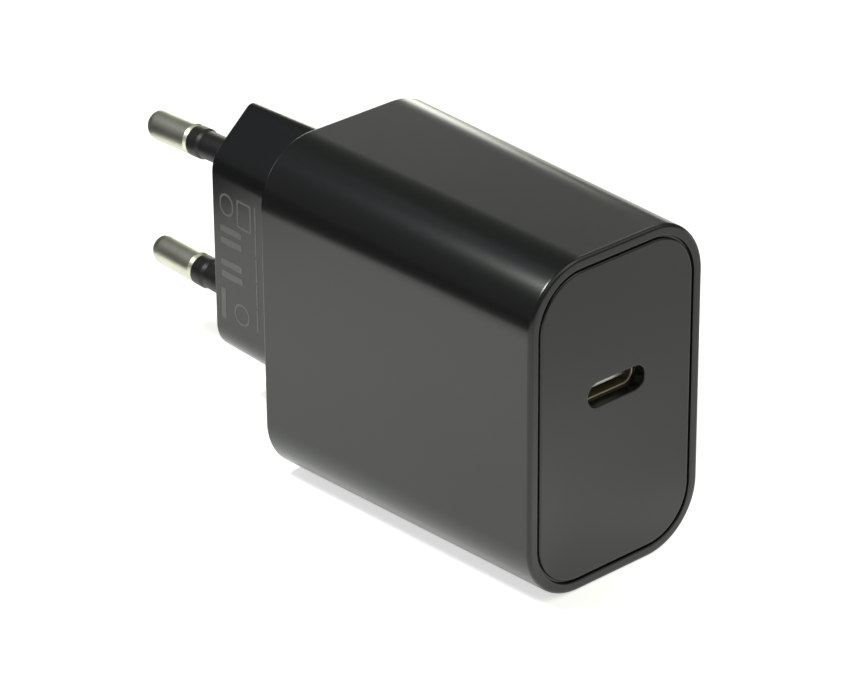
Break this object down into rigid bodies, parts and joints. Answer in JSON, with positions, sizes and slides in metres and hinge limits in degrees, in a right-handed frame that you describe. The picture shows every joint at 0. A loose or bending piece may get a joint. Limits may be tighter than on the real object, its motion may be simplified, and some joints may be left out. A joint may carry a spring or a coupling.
{
  "type": "usb wall charger",
  "caption": "Compact mains charger: a rounded box with a USB-C port in an inset front panel and a round-pin plug on a long narrow neck at the back.",
  "frame": {"origin": "centre of the plug's mating face, midway between the two pins", "axes": "+Y along the pins into the socket, +Z from the lower pin to the upper pin, the USB face looks along -Y"},
  "size_m": [0.0288, 0.0834, 0.044],
  "materials": {
    "casing_plastic": "satin",
    "panel_plastic": "satin",
    "sleeve_plastic": "satin",
    "pin_nickel": "polished",
    "spring_bronze": "satin",
    "socket_steel": "satin",
    "socket_plastic": "satin",
    "contact_gold": "polished",
    "board_green": "gloss",
    "solder": "satin",
    "chip_black": "matte",
    "ferrite": "matte",
    "bobbin_plastic": "matte",
    "copper_wire": "polished",
    "tape_yellow": "satin",
    "capacitor_sleeve": "gloss",
    "capacitor_can": "satin",
    "disc_blue": "satin",
    "disc_green": "satin",
    "fuse_brown": "satin",
    "insulation_film": "satin",
    "pad_grey": "matte",
    "spreader_aluminium": "satin"
  },
  "bodies": {
    "root": {"body_shell": "casing_plastic", "front_panel": "panel_plastic", "plug_head": "casing_plastic", "pin_upper": "pin_nickel", "pin_lower": "pin_nickel", "pin_sleeve_upper": "sleeve_plastic", "pin_sleeve_lower": "sleeve_plastic", "contact_spring_upper": "spring_bronze", "contact_spring_lower": "spring_bronze", "usb_shell": "socket_steel", "usb_tongue": "socket_plastic", "usb_contacts": "contact_gold", "usb_board": "board_green", "pd_controller": "chip_black", "main_board": "board_green", "solder_joints": "solder", "transformer_core_lower": "ferrite", "transformer_core_upper": "ferrite", "transformer_bobbin": "bobbin_plastic", "transformer_winding": "copper_wire", "transformer_tape": "tape_yellow", "transformer_pins": "solder", "bulk_capacitor_1": "capacitor_sleeve", "bulk_capacitor_2": "capacitor_sleeve", "output_capacitor_1": "capacitor_can", "output_capacitor_2": "capacitor_can", "y_capacitor": "disc_blue", "varistor": "disc_green", "fuse": "fuse_brown", "choke_core": "ferrite", "choke_windings": "copper_wire", "bridge_rectifier": "chip_black", "power_controller": "chip_black", "rectifier_switch": "chip_black", "optocoupler": "chip_black", "insulation_sheet": "insulation_film", "thermal_pad": "pad_grey", "heat_spreader": "spreader_aluminium"}
  },
  "joints": []
}
